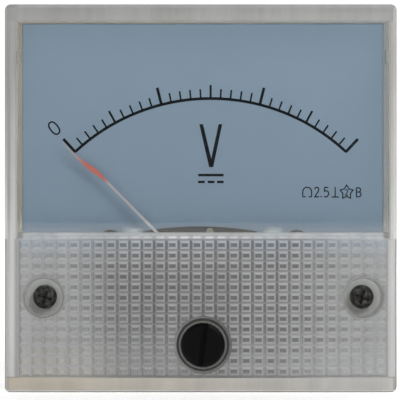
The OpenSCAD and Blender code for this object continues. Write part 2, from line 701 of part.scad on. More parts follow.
module mounting_studs() color([0.78, 0.66, 0.38]) face() for (s = [-1, 1]) translate([s * stud_gap / 2, 0, stud_z]) {
    bar(6.2, y_flange - 2, y_flange, 0, 0, 6);
    bar(stud_d + 0.4, y_flange - 0.1, 0);
    bar(stud_d, -0.01, 2.05);
    bar(stud_d - 0.34, 2, stud_reach - 0.4);
    taper(stud_d - 0.34, stud_d - 0.9, stud_reach - 0.4, stud_reach);
}

module mounting_washers() color([0.8, 0.78, 0.72]) face() for (s = [-1, 1]) difference() {
    bar(7, 2.1, 2.6, s * stud_gap / 2, stud_z);
    bar(stud_d + 0.2, 1, 4, s * stud_gap / 2, stud_z);
}

module mounting_nuts() color([0.8, 0.7, 0.42]) face() for (s = [-1, 1]) difference() {
    translate([s * stud_gap / 2, 0, stud_z]) rotate([0, 12 * s, 0]) intersection() {
        bar(6.35, 2.65, 5.05, 0, 0, 6);
        union() {
            taper(5.5, 6.5, 2.65, 2.95);
            bar(6.5, 2.95, 4.75);
            taper(6.5, 5.5, 4.75, 5.05);
        }
    }
    bar(stud_d - 0.3, 2, 6, s * stud_gap / 2, stud_z);
}

rear_base();
front_cover();
cover_screws();
dial_plate();
dial_screws();
movement_frame();
movement_screws();
pole_pieces();
magnet();
iron_core();
core_bracket();
pole_screws();
front_bridge();
front_bridge_screws();
rear_bridge();
rear_bridge_screws();
jewel_screws();
jewel_nuts();
spring_tag();
zero_corrector();
zero_adjuster();
pointer();
balance_weights();
coil_former();
moving_coil();
pivots();
front_hairspring();
rear_hairspring();
terminal_studs();
terminal_washers();
terminal_nuts();
solder_lugs();
series_resistor();
lead_wires();
mounting_studs();
mounting_washers();
mounting_nuts();
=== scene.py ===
import math
import bmesh
import bpy
from mathutils import Matrix, Vector


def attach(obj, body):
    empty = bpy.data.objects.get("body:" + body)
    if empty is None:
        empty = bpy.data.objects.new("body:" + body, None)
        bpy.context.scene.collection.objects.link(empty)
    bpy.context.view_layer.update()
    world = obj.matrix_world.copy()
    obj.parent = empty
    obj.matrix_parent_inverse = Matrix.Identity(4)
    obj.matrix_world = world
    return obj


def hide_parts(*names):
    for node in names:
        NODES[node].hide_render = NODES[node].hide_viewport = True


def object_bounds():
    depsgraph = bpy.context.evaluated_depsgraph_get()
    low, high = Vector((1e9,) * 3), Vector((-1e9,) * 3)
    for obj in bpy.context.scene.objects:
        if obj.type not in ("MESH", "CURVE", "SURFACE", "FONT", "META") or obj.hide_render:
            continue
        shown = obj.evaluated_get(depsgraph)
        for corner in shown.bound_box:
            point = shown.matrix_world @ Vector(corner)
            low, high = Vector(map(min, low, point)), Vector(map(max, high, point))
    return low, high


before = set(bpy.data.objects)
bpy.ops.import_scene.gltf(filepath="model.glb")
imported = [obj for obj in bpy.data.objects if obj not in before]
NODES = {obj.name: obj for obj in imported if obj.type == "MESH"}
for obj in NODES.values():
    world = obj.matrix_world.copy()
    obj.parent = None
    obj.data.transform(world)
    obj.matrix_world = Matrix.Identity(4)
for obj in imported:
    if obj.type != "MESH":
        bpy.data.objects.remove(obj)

CAD_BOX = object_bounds()
MM = 0.001
RISE = 3.5            # face centre over the barrel's axis, mm
Y_FRONT = -14.5       # front of the cover
Y_DIAL = -9.2         # front of the dial plate
PIVOT = (1.5, -10.95)  # pivot axis (x, z) in the row frame, mm
CAM_D = 400.0         # camera to the cover's front, mm
PX = 0.1631           # mm in the front plane for one picture unit


# ------------------------------------------------------------------ materials

def lin(r, g, b):
    """display colour, 0-255, to linear"""
    def f(c):
        c /= 255.0
        return c / 12.92 if c <= 0.04045 else ((c + 0.055) / 1.055) ** 2.4
    return (f(r), f(g), f(b), 1.0)


RIM_HAZE, TOP_HAZE, FLANK_HAZE = 0.74, 0.6, 0.74
SIDE_TOP, SIDE_FLANK = 0.66, 0.82


class Graph:
    def __init__(self, name):
        self.m = bpy.data.materials.new(name)
        self.m.use_nodes = True
        self.nt = self.m.node_tree
        self.nt.nodes.clear()
        self.out = self.nt.nodes.new("ShaderNodeOutputMaterial")
        self.tc = self.nt.nodes.new("ShaderNodeTexCoord")

    def n(self, kind, ins=None, **props):
        x = self.nt.nodes.new(kind)
        for k, v in props.items():
            setattr(x, k, v)
        for k, v in (ins or {}).items():
            x.inputs[k].default_value = v
        return x

    def l(self, a, b):
        self.nt.links.new(a, b)

    def coords(self, stretch=(1, 1, 1), loc=(0, 0, 0), rot=(0, 0, 0)):
        mp = self.n("ShaderNodeMapping", {"Scale": stretch, "Location": loc, "Rotation": rot})
        self.l(self.tc.outputs["Object"], mp.inputs["Vector"])
        return mp.outputs["Vector"]

    def noise(self, scale, detail=3.0, rough=0.5, vec=None, distortion=0.0):
        t = self.n("ShaderNodeTexNoise", {"Scale": scale, "Detail": detail, "Roughness": rough, "Distortion": distortion})
        self.l(vec or self.tc.outputs["Object"], t.inputs["Vector"])
        return t.outputs["Fac"]

    def ramp(self, fac, stops, mode="LINEAR"):
        r = self.n("ShaderNodeValToRGB")
        r.color_ramp.interpolation = mode
        e = r.color_ramp.elements
        e[0].position, e[0].color = stops[0][0], stops[0][1]
        e[1].position, e[1].color = stops[-1][0], stops[-1][1]
        for p, c in stops[1:-1]:
            x = e.new(p)
            x.color = c
        self.l(fac, r.inputs["Fac"])
        return r.outputs["Color"]

    def rng(self, v, a, b, c, d, clamp=True):
        r = self.n("ShaderNodeMapRange", {"From Min": a, "From Max": b, "To Min": c, "To Max": d}, clamp=clamp)
        self.l(v, r.inputs["Value"])
        return r.outputs["Result"]

    def math(self, op, a, b=None, c=None):
        x = self.n("ShaderNodeMath", operation=op)
        for i, v in enumerate((a, b, c)):
            if v is None:
                continue
            if isinstance(v, (int, float)):
                x.inputs[i].default_value = v
            else:
                self.l(v, x.inputs[i])
        return x.outputs[0]

    def mixc(self, fac, a, b, mode="MIX"):
        x = self.n("ShaderNodeMix", data_type="RGBA", blend_type=mode)
        for v, s in ((fac, x.inputs[0]), (a, x.inputs[6]), (b, x.inputs[7])):
            if isinstance(v, (int, float, tuple)):
                s.default_value = v
            else:
                self.l(v, s)
        return x.outputs[2]

    def bump(self, h, strength, dist, normal=None):
        b = self.n("ShaderNodeBump", {"Strength": strength, "Distance": dist})
        self.l(h, b.inputs["Height"])
        if normal is not None:
            self.l(normal, b.inputs["Normal"])
        return b.outputs["Normal"]

    def principled(self, **ins):
        p = self.n("ShaderNodeBsdfPrincipled")
        for k, v in ins.items():
            s = p.inputs[k.replace("_", " ")]
            if isinstance(v, (int, float, tuple)):
                s.default_value = v
            else:
                self.l(v, s)
        return p

    def done(self, shader):
        self.l(shader, self.out.inputs["Surface"])
        return self.m


def plain(name, dark, light, rough=(0.3, 0.5), metal=0.0, scale=260, grain=5200, bump=0.25, dist=0.00002, stretch=(1, 1, 1), spec=0.5, coat=0.0):
    """cloudy colour, uneven gloss and a fine grain"""
    g = Graph(name)
    v = g.coords(stretch)
    cloud = g.noise(scale, 5.0, 0.6, v)
    fine = g.noise(grain, 3.0, 0.6, v)
    col = g.ramp(g.math("ADD", g.math("MULTIPLY", cloud, 0.8), g.math("MULTIPLY", fine, 0.2)), [(0.3, dark), (0.72, light)])
    p = g.principled(Base_Color=col, Roughness=g.rng(cloud, 0.3, 0.7, rough[0], rough[1]), Metallic=metal, Normal=g.bump(fine, bump, dist))
    p.inputs["Specular IOR Level"].default_value = spec
    p.inputs["Coat Weight"].default_value = coat
    return g.done(p.outputs[0])


def turned(name, dark, light, axis, centre=(0, 0), rough=(0.22, 0.42), pitch=9000, metal=1.0, scale=300):
    """metal with fine turning rings about an axis through `centre`"""
    g = Graph(name)
    v = g.coords((1, 1, 1), (-centre[0] * MM, 0, -centre[1] * MM))
    sep = g.n("ShaderNodeSeparateXYZ")
    g.l(v, sep.inputs[0])
    a, b = (("X", "Z") if axis == "Y" else ("X", "Y"))
    r = g.math("SQRT", g.math("ADD", g.math("POWER", sep.outputs[a], 2.0), g.math("POWER", sep.outputs[b], 2.0)))
    ring = g.math("SINE", g.math("MULTIPLY", g.math("ADD", r, g.math("MULTIPLY", sep.outputs["Y"], 0.7)), pitch * 6.283 / 2))
    cloud = g.noise(scale, 5.0, 0.6)
    col = g.ramp(cloud, [(0.3, dark), (0.7, light)])
    h = g.math("ADD", g.math("MULTIPLY", ring, 0.4), g.noise(6000, 2.0))
    p = g.principled(Base_Color=col, Roughness=g.rng(cloud, 0.3, 0.7, rough[0], rough[1]), Metallic=metal, Normal=g.bump(h, 0.16, 0.00001))
    return g.done(p.outputs[0])


def case_material():
    """pale moulded plastic with faint flow marks and a fine sparked texture"""
    g = Graph("case_plastic")
    cloud = g.noise(60, 5.0, 0.6, g.coords((1, 0.4, 1)))
    flow = g.noise(35, 2.0, 0.5, g.coords((1, 1, 4)), 1.2)
    fine = g.noise(3800, 3.0, 0.65)
    tone = g.math("ADD", g.math("MULTIPLY", cloud, 0.6), g.math("MULTIPLY", flow, 0.4))
    col = g.ramp(tone, [(0.3, lin(202, 200, 192)), (0.7, lin(218, 217, 210))])
    sep = g.n("ShaderNodeSeparateXYZ")
    g.l(g.tc.outputs["Object"], sep.inputs[0])
    # painted shade: the tray wall in front of the flange, inside the cover, is painted darker, brownish at the left and
    # greyer at the right, most towards the top
    tray_shade = g.math("MULTIPLY", g.rng(sep.outputs[1], -0.0034, -0.0030, 1.0, 0.0), g.rng(sep.outputs[2], -0.004, 0.002, 0.15, 1.0))
    col = g.mixc(g.math("MULTIPLY", tray_shade, 0.8), col, g.mixc(g.rng(sep.outputs[0], -0.026, 0.026, 0.0, 1.0), lin(160, 151, 137), lin(148, 152, 156)))
    p = g.principled(Base_Color=col, Roughness=g.rng(cloud, 0.3, 0.7, 0.34, 0.5), Normal=g.bump(fine, 0.3, 0.000025))
    p.inputs["Subsurface Weight"].default_value = 0.06
    p.inputs["Subsurface Radius"].default_value = (0.001, 0.001, 0.0008)
    return g.done(p.outputs[0])


def cover_material():
    """clear moulded plastic: bends light, hazy where the mould was textured or the wall is seen end on, and lets light through to the dial"""
    g = Graph("clear_plastic")
    cloud = g.noise(120, 4.0, 0.6)
    streak = g.noise(240, 4.0, 0.6, g.coords((1, 1, 0.12)))
    dust = g.noise(2600, 4.0, 0.75)
    fine = g.noise(900, 2.0, 0.5)
    h = g.math("ADD", cloud, g.math("MULTIPLY", fine, 0.06))
    nrm = g.bump(h, 0.05, 0.00002)
    clear = g.n("ShaderNodeBsdfGlass", {"IOR": 1.49, "Color": (0.985, 0.99, 0.985, 1)})
    g.l(g.rng(cloud, 0.3, 0.7, 0.0, 0.03), clear.inputs["Roughness"])
    g.l(nrm, clear.inputs["Normal"])
    # where on the moulding
    sep = g.n("ShaderNodeSeparateXYZ")
    g.l(g.tc.outputs["Object"], sep.inputs[0])
    x, y, z = (sep.outputs[i] for i in range(3))
    sn = g.n("ShaderNodeSeparateXYZ")
    g.l(g.tc.outputs["Normal"], sn.inputs[0])
    ny = g.math("ABSOLUTE", sn.outputs[1])
    front = g.rng(ny, 0.93, 0.98, 0.0, 1.0)
    edge_on = g.rng(ny, 0.12, 0.3, 1.0, 0.0)
    flank = g.math("SUBTRACT", g.math("SUBTRACT", 1.0, front), edge_on)
    ax = g.math("ABSOLUTE", g.math("SUBTRACT", x, 0.0004))
    side = g.rng(ax, 0.0301, 0.0307, 0.0, 1.0)
    top = g.rng(z, 0.0323, 0.0326, 0.0, 1.0)
    foot = g.rng(z, -0.0258, -0.0255, 1.0, 0.0)
    rim = g.math("MAXIMUM", g.math("MAXIMUM", side, top), foot)
    inner = g.rng(ax, 0.0311, 0.0313, 1.0, 0.0)
    low = g.rng(z, -0.0032, -0.0030, 1.0, 0.0)
    groove = g.math("MULTIPLY", g.rng(y, -0.0142, -0.01415, 0.0, 1.0), g.rng(y, -0.0140, -0.0139, 1.0, 0.0))

    def dist(u, v, cx, cz):
        return g.math("SQRT", g.math("ADD", g.math("POWER", g.math("SUBTRACT", u, cx), 2.0), g.math("POWER", g.math("SUBTRACT", v, cz), 2.0)))

    # over the movement the panel is clear, beside it and under it the moulding is cloudier
    mid = g.math("MULTIPLY", g.rng(g.math("ABSOLUTE", g.math("SUBTRACT", x, 0.0010)), 0.0115, 0.0245, 1.0, 0.0), g.rng(z, -0.0235, -0.0165, 0.35, 1.0))
    knob = dist(x, z, 0.00035, -0.0204)
    # painted shade: rings round the knob where the black cap shows refracted in the collar
    dark_ring = g.math("MULTIPLY", g.rng(knob, 0.00385, 0.00395, 0.0, 1.0), g.rng(knob, 0.00427, 0.00437, 1.0, 0.0))
    grey_ring = g.rng(knob, 0.00385, 0.00395, 1.0, 0.0)
    rad = dist(g.math("ABSOLUTE", g.math("SUBTRACT", x, 0.000425)), z, 0.026075, -0.0127)
    well = g.rng(rad, 0.0033, 0.0035, 1.0, 0.0)
    # milkiness
    var = g.rng(streak, 0.35, 0.7, 0.88, 1.1)
    open_low = g.math("ADD", g.rng(mid, 0.0, 1.0, SIDE_TOP, TOP_HAZE), g.math("MULTIPLY", groove, g.rng(mid, 0.0, 1.0, 0.2, 0.35)))
    # painted highlight: bands of milkiness along the ridge under the window paint its bright and darker lines
    ridge = g.ramp(g.rng(z, -0.0034, -0.0010, 0.0, 1.0), [(0.0, (0, 0, 0, 1)), (0.02, (0.6,) * 3 + (1,)), (0.33, (0.58,) * 3 + (1,)), (0.375, (0.3,) * 3 + (1,)), (0.42, (0.54,) * 3 + (1,)),
                                                                     (0.48, (0.56,) * 3 + (1,)), (0.53, (0.36,) * 3 + (1,)), (0.58, (0.08,) * 3 + (1,)), (0.85, (0.05,) * 3 + (1,)), (1.0, (0, 0, 0, 1))])
    in_window = g.math("SUBTRACT", 1.0, side)
    ridge = g.math("MULTIPLY", ridge, in_window)
    face = g.math("MAXIMUM", g.math("MAXIMUM", g.math("MULTIPLY", rim, RIM_HAZE), g.math("MULTIPLY", low, open_low)), ridge)
    face = g.math("MAXIMUM", face, g.math("MULTIPLY", g.math("MAXIMUM", dark_ring, g.math("MULTIPLY", grey_ring, 0.7)), 0.85))
    face = g.math("MAXIMUM", face, g.math("MULTIPLY", well, 0.82))
    face = g.math("MAXIMUM", face, g.math("MULTIPLY", foot, 0.88))
    # painted highlight: a bright streak along the top of the first prism row, strongest in the middle of each column
    # and towards the centre
    sill_highlight = g.math("MULTIPLY", g.rng(z, -0.00318, -0.00300, 0.0, 1.0), g.rng(z, -0.00276, -0.00262, 1.0, 0.0))
    col = g.math("ABSOLUTE", g.math("SUBTRACT", g.math("FRACT", g.math("DIVIDE", g.math("ADD", x, 0.0497666), 0.00200667)), 0.5))
    sill_highlight = g.math("MULTIPLY", sill_highlight, g.rng(col, 0.25, 0.42, 1.0, 0.25))
    sill_highlight = g.math("MULTIPLY", g.math("MULTIPLY", sill_highlight, in_window), g.rng(g.math("ABSOLUTE", g.math("ADD", x, 0.001)), 0.004, 0.017, 1.0, 0.35))
    face = g.math("MAXIMUM", face, g.math("MULTIPLY", sill_highlight, 0.85))
    # pale clouds between the dial's screws and its notch
    puff = g.math("MULTIPLY", g.math("MULTIPLY", g.rng(ax, 0.0090, 0.0110, 0.0, 1.0), g.rng(ax, 0.0118, 0.0140, 1.0, 0.0)), g.math("MULTIPLY", g.rng(z, -0.0024, -0.0021, 0.0, 1.0), g.rng(z, -0.0019, -0.0010, 1.0, 0.0)))
    face = g.math("MAXIMUM", face, g.math("MULTIPLY", puff, 0.5))
    flank_haze = g.math("MAXIMUM", g.rng(mid, 0.0, 1.0, SIDE_FLANK, FLANK_HAZE), g.math("MULTIPLY", ridge, 1.0))
    # painted highlight: the bevels down the left and along the bottom are painted as the brightest edges
    bevel_left = g.math("MULTIPLY", g.rng(x, -0.03160, -0.03150, 1.0, 0.0), g.rng(z, 0.012, -0.006, 0.0, 1.0))
    bevel_foot = g.rng(z, -0.02775, -0.02765, 1.0, 0.0)
    bevels = g.math("MAXIMUM", bevel_left, bevel_foot)
    flank_haze = g.math("MAXIMUM", flank_haze, g.math("MULTIPLY", bevels, 0.97))
    haze = g.math("ADD", g.math("MULTIPLY", front, face), g.math("ADD", g.math("MULTIPLY", flank, flank_haze), g.math("MULTIPLY", edge_on, g.math("ADD", g.math("MULTIPLY_ADD", dark_ring, 0.7, 0.14), g.math("MAXIMUM", g.math("MULTIPLY", inner, 0.26), g.math("MULTIPLY", well, 0.5))))))
    speck = g.rng(dust, 0.66, 0.74, 0.0, 0.04)
    haze = g.math("MINIMUM", g.math("ADD", g.math("MULTIPLY", haze, var), g.math("ADD", speck, 0.004)), 0.95)
    milk = g.n("ShaderNodeBsdfDiffuse")
    tone = g.ramp(streak, [(0.35, lin(192, 191, 188)), (0.7, lin(210, 209, 207))])
    # painted shade and highlight: the top rim is painted greyer, lighter towards the right, and its flanks are painted
    # lighter
    tone = g.mixc(g.math("MULTIPLY", top, 0.75), tone, g.mixc(g.rng(x, -0.015, 0.012, 0.0, 1.0), lin(166, 166, 165), lin(176, 176, 175)))
    tone = g.mixc(g.math("MULTIPLY", top, g.math("MULTIPLY", flank, 0.8)), tone, lin(206, 206, 206))
    tone = g.mixc(g.math("MULTIPLY", low, 0.7), tone, lin(188, 189, 190))
    # painted light: the side walls are painted brighter towards the foot, and the foot itself is warmer at the left
    tone = g.mixc(g.math("MULTIPLY", side, g.rng(z, 0.022, -0.004, 0.0, 0.8)), tone, lin(240, 240, 239))
    tone = g.mixc(g.math("MULTIPLY", foot, g.rng(x, -0.03, 0.02, 0.95, 0.8)), tone, g.mixc(g.rng(x, -0.03, 0.025, 0.0, 1.0), lin(203, 194, 178), lin(202, 200, 196)))
    # painted highlight on the left and bottom bevels
    tone = g.mixc(g.math("MULTIPLY", bevels, 0.9), tone, lin(252, 248, 240))
    # painted shade: a dark line along the top of the foot, darkest in the middle
    foot_shade_line = g.math("MULTIPLY", g.rng(z, -0.0259, -0.0257, 0.0, 1.0), foot)
    tone = g.mixc(g.math("MULTIPLY", foot_shade_line, g.rng(g.math("ABSOLUTE", x), 0.004, 0.010, 0.95, 0.6)), tone, lin(128, 124, 118))
    # painted light: the blue of the dial behind is painted onto the top rows of the panel, fading downwards
    tone = g.mixc(g.math("MULTIPLY", g.math("MULTIPLY", low, g.rng(ax, 0.0299, 0.0301, 1.0, 0.0)), g.rng(z, -0.0062, -0.0040, 0.0, 0.6)), tone, lin(192, 206, 222))
    # painted highlight, pale bluish, on the ridge
    tone = g.mixc(g.math("MULTIPLY", ridge, 0.8), tone, lin(212, 216, 222))
    line = g.math("MULTIPLY", g.rng(x, -0.03165, -0.03145, 0.0, 1.0), g.rng(x, -0.03115, -0.03095, 1.0, 0.0))
    tone = g.mixc(g.math("MULTIPLY", line, g.rng(z, -0.012, 0.004, 0.12, 0.5)), tone, lin(158, 158, 158))
    # painted shade: the upper part of the left side wall is painted greyer
    tone = g.mixc(g.math("MULTIPLY", g.math("MULTIPLY", side, g.rng(x, -0.02, -0.03, 0.0, 1.0)), g.rng(z, 0.012, 0.026, 0.0, 0.6)), tone, lin(176, 176, 176))
    # painted shade and light: the grooves are painted darker, those that lie across lighter than the upright ones; each
    # prism is painted darker on its left flank and lighter on its upper and lower flanks
    cell = g.math("ABSOLUTE", g.math("SUBTRACT", g.math("FRACT", g.math("DIVIDE", g.math("SUBTRACT", z, -0.0256), 0.00171923)), 0.5))
    across = g.rng(cell, 0.44, 0.46, 0.0, 1.0)
    # painted highlight along the streak on the first prism row
    tone = g.mixc(sill_highlight, tone, lin(250, 252, 255))
    tone = g.mixc(puff, tone, lin(208, 216, 214))
    # painted shade in the grooves
    tone = g.mixc(g.math("MULTIPLY", groove, low), tone, g.mixc(mid, lin(186, 187, 188), g.mixc(across, lin(126, 126, 127), lin(148, 148, 149))))
    panel = g.math("MULTIPLY", g.math("MULTIPLY", low, g.rng(ax, 0.0299, 0.0302, 1.0, 0.0)), g.rng(z, -0.02585, -0.0257, 0.0, 1.0))
    # painted shade: the prism tops are painted dark where the movement lies behind them, less so towards the sides
    tops = g.math("MULTIPLY", panel, g.rng(y, -0.01446, -0.01440, 1.0, 0.0))
    plain = g.math("MAXIMUM", g.rng(z, -0.0210, -0.0130, 0.42, 1.0), g.rng(x, -0.007, 0.001, 0.0, 1.0))
    tone = g.mixc(g.math("MULTIPLY", g.math("MULTIPLY", tops, plain), g.rng(g.math("ABSOLUTE", g.math("SUBTRACT", x, 0.0010)), 0.0150, 0.0285, 0.92, 0.2)), tone, lin(110, 109, 109))
    # painted shade on the left-facing flanks
    left = g.math("MULTIPLY", g.rng(sn.outputs[0], -0.25, -0.5, 0.0, 1.0), panel)
    tone = g.mixc(g.math("MULTIPLY", left, g.rng(mid, 0.0, 1.0, 0.05, 0.28)), tone, lin(146, 147, 148))
    # painted light on the upward flanks
    up = g.math("MULTIPLY", g.rng(sn.outputs[2], 0.25, 0.5, 0.0, 1.0), panel)
    tone = g.mixc(g.math("MULTIPLY", up, g.rng(mid, 0.0, 1.0, 0.2, 0.42)), tone, lin(240, 241, 242))
    # painted light on the downward flanks
    down = g.math("MULTIPLY", g.rng(sn.outputs[2], -0.25, -0.5, 0.0, 1.0), panel)
    tone = g.mixc(g.math("MULTIPLY", down, g.rng(mid, 0.0, 1.0, 0.3, 0.2)), tone, lin(240, 241, 242))
    # painted light: the last rows are painted lighter and a little warmer at the left
    tone = g.mixc(g.math("MULTIPLY", g.math("MULTIPLY", panel, g.math("SUBTRACT", 1.0, groove)), g.math("MULTIPLY", g.rng(z, -0.0195, -0.0230, 0.0, 0.5), g.rng(g.math("ABSOLUTE", g.math("SUBTRACT", x, 0.0010)), 0.011, 0.020, 0.05, 1.0))), tone, g.mixc(g.rng(x, -0.03, 0.02, 0.0, 1.0), lin(210, 205, 194), lin(214, 214, 216)))
    # painted shade: the panel is painted darker left of centre, where the dark movement shows through most
    shade = g.math("MULTIPLY", g.math("MULTIPLY", g.rng(x, 0.009, 0.004, 0.0, 1.0), g.rng(x, -0.020, -0.014, 0.0, 1.0)), g.math("MULTIPLY", panel, g.rng(z, -0.0065, -0.0095, 0.0, 1.0)))
    tone = g.mixc(g.math("MULTIPLY", shade, 0.17), tone, lin(60, 60, 60))
    # painted shade: a grey line where the side walls meet the window and the panel, and a darker band along the left
    # wall beside the panel
    above = g.rng(z, -0.0034, -0.0028, 0.0, 1.0)
    wall_shade_line = g.math("MULTIPLY", g.rng(ax, 0.0292, 0.0296, 0.0, 1.0), g.rng(ax, 0.0302, 0.0306, 1.0, 0.0))
    wall_shade_line = g.math("MULTIPLY", g.math("MULTIPLY", wall_shade_line, g.rng(z, 0.018, 0.006, 0.0, 1.0)), above)
    edge = g.math("MULTIPLY", g.rng(ax, 0.0300, 0.0303, 0.0, 1.0), g.rng(ax, 0.0305, 0.0311, 1.0, 0.0))
    edge = g.math("MULTIPLY", g.math("MULTIPLY", edge, g.rng(x, -0.01, 0.0, 1.0, 0.0)), g.math("MULTIPLY", g.math("SUBTRACT", 1.0, above), g.math("SUBTRACT", 1.0, foot)))
    tone = g.mixc(g.math("MULTIPLY", wall_shade_line, 0.8), tone, lin(134, 133, 130))
    tone = g.mixc(g.math("MULTIPLY", edge, 0.6), tone, lin(146, 146, 144))
    tone = g.mixc(well, tone, lin(208, 208, 206))
    # painted shade: a darker ring at the outer edge of each screw well
    tone = g.mixc(g.math("MULTIPLY", g.math("MULTIPLY", well, g.rng(rad, 0.0030, 0.00306, 0.0, 0.8)), g.rng(y, -0.01385, -0.0140, 0.0, 1.0)), tone, lin(150, 150, 148))
    # painted shade: a grey ring and a dark ring round the knob, the black cap seen refracted in the collar
    tone = g.mixc(grey_ring, tone, lin(132, 131, 130))
    tone = g.mixc(dark_ring, tone, lin(66, 64, 62))
    g.l(tone, milk.inputs["Color"])
    # the cloudiness sits under the surface, so it shades more softly than the facets do
    geo = g.n("ShaderNodeNewGeometry")
    flat = g.n("ShaderNodeCombineXYZ", {1: -1.0})
    soft = g.n("ShaderNodeMix", data_type="VECTOR")
    g.l(g.math("MULTIPLY", g.math("MULTIPLY", low, flank), g.rng(mid, 0.0, 1.0, 0.92, 0.72)), soft.inputs[0])
    g.l(geo.outputs["Normal"], soft.inputs[4]); g.l(flat.outputs[0], soft.inputs[5])
    nn = g.n("ShaderNodeVectorMath", operation="NORMALIZE")
    g.l(soft.outputs[1], nn.inputs[0]); g.l(nn.outputs[0], milk.inputs["Normal"])
    body = g.n("ShaderNodeMixShader")
    g.l(haze, body.inputs[0]); g.l(clear.outputs[0], body.inputs[1]); g.l(milk.outputs[0], body.inputs[2])
    # daylight passes straight through for shadows
    lp = g.n("ShaderNodeLightPath")
    thru = g.n("ShaderNodeBsdfTransparent", {"Color": (0.94, 0.95, 0.95, 1)})
    mix = g.n("ShaderNodeMixShader")
    g.l(lp.outputs["Is Shadow Ray"], mix.inputs[0]); g.l(body.outputs[0], mix.inputs[1]); g.l(thru.outputs[0], mix.inputs[2])
    return g.done(mix.outputs[0])


def dial_material():
    g = Graph("dial_enamel")
    cloud = g.noise(45, 4.0, 0.55)
    fine = g.noise(5200, 3.0, 0.7)
    sep = g.n("ShaderNodeSeparateXYZ")
    g.l(g.tc.outputs["Object"], sep.inputs[0])
    # painted light: the enamel is painted lighter towards the top of the dial
    up = g.rng(sep.outputs[2], -0.003, 0.032, 0.0, 1.0)
    f = g.math("ADD", g.math("MULTIPLY", up, 0.55), g.math("ADD", g.math("MULTIPLY", cloud, 0.35), g.math("MULTIPLY", fine, 0.1)))
    col = g.ramp(f, [(0.2, DIAL_LOW), (0.85, DIAL_HIGH)])
    p = g.principled(Base_Color=col, Roughness=g.rng(cloud, 0.3, 0.7, 0.5, 0.62), Normal=g.bump(fine, 0.12, 0.00001))
    p.inputs["Specular IOR Level"].default_value = 0.35
    return g.done(p.outputs[0])


def ink_material():
    g = Graph("dial_ink")
    fine = g.noise(4200, 3.0, 0.7)
    col = g.ramp(fine, [(0.3, (0.002, 0.004, 0.006, 1)), (0.75, (0.008, 0.012, 0.016, 1))])
    p = g.principled(Base_Color=col, Roughness=g.rng(fine, 0.3, 0.7, 0.5, 0.65), Normal=g.bump(fine, 0.1, 0.00001))
    p.inputs["Specular IOR Level"].default_value = 0.08
    return g.done(p.outputs[0])


def pointer_material():
    """pale lacquered sheet whose blade is dipped orange-red between two distances from the pivot"""
    g = Graph("pointer_paint")
    v = g.coords((1, 1, 1), (-PIVOT[0] * MM, 0, -PIVOT[1] * MM))
    sep = g.n("ShaderNodeSeparateXYZ")
    g.l(v, sep.inputs[0])
    r = g.math("SQRT", g.math("ADD", g.math("POWER", sep.outputs["X"], 2.0), g.math("POWER", sep.outputs["Z"], 2.0)))
    fine = g.noise(2600, 3.0, 0.6)
    wob = g.math("ADD", r, g.math("MULTIPLY", fine, 0.0005))
    bright, pale, red, tip = lin(226, 226, 226), lin(190, 186, 192), lin(208, 114, 100), lin(190, 166, 168)
    col = g.ramp(g.rng(wob, 0.0, 0.04, 0.0, 1.0), [(0.0, bright), (0.31, bright), (0.42, pale), (0.595, pale), (0.625, red), (0.725, red), (0.785, tip), (1.0, tip)])
    col = g.mixc(g.rng(fine, 0.3, 0.7, 0.0, 0.12), col, lin(120, 90, 90))
    p = g.principled(Base_Color=col, Roughness=g.rng(fine, 0.3, 0.7, 0.4, 0.55), Normal=g.bump(fine, 0.15, 0.00001))
    return g.done(p.outputs[0])


def coil_material():
    """enamelled wire laid side by side: fine ridges that run round the coil"""
    g = Graph("coil_wire")
    sep = g.n("ShaderNodeSeparateXYZ")
    # turns are stacked across the winding, which lies turned by the rest angle
    v = g.coords((1, 1, 1), (0, 0, 0), (0, math.radians(45.8), 0))
    w = g.n("ShaderNodeTexWave", {"Scale": 4200.0, "Distortion": 1.2, "Detail": 2.0, "Detail Scale": 0.6}, bands_direction="Z")
    g.l(v, w.inputs["Vector"])
    cloud = g.noise(700, 4.0, 0.6)
    col = g.ramp(g.math("MULTIPLY_ADD", w.outputs["Fac"], 0.5, g.math("MULTIPLY", cloud, 0.5)), [(0.25, (0.16, 0.045, 0.015, 1)), (0.75, (0.5, 0.19, 0.07, 1))])
    p = g.principled(Base_Color=col, Roughness=g.rng(cloud, 0.3, 0.7, 0.25, 0.4), Metallic=0.6, Normal=g.bump(w.outputs["Fac"], 0.5, 0.00003))
    return g.done(p.outputs[0])


def knob_material():
    g = Graph("knob_plastic")
    cloud = g.noise(500, 4.0, 0.6)
    scratch = g.noise(900, 4.0, 0.7, g.coords((1, 1, 0.08), (0, 0, 0), (0, math.radians(28), 0)))
    fine = g.noise(5200, 3.0, 0.6)
    col = g.ramp(g.math("MULTIPLY_ADD", scratch, 0.5, g.math("MULTIPLY", cloud, 0.5)), [(0.35, (0.0024, 0.0024, 0.0026, 1)), (0.8, (0.007, 0.007, 0.007, 1))])
    p = g.principled(Base_Color=col, Roughness=g.rng(cloud, 0.3, 0.7, 0.3, 0.45), Normal=g.bump(g.math("ADD", scratch, g.math("MULTIPLY", fine, 0.3)), 0.12, 0.00002))
    p.inputs["Specular IOR Level"].default_value = 0.07
    return g.done(p.outputs[0])


def screw_material():
    """blackened heads with grey and brownish dust caught in the pits"""
    g = Graph("screw_black")
    pits = g.noise(1500, 4.0, 0.65)
    rust = g.noise(700, 3.0, 0.5)
    fine = g.noise(5200, 3.0, 0.6)
    col = g.ramp(pits, [(0.36, lin(30, 30, 28)), (0.5, lin(52, 52, 49)), (0.6, lin(84, 83, 80)), (0.72, lin(128, 126, 122))])
    col = g.mixc(g.rng(rust, 0.5, 0.7, 0.0, 0.4), col, lin(70, 56, 46))
    p = g.principled(Base_Color=col, Roughness=g.rng(pits, 0.3, 0.7, 0.4, 0.65), Metallic=0.3, Normal=g.bump(g.math("ADD", pits, g.math("MULTIPLY", fine, 0.3)), 0.4, 0.00004))
    p.inputs["Specular IOR Level"].default_value = 0.4
    return g.done(p.outputs[0])


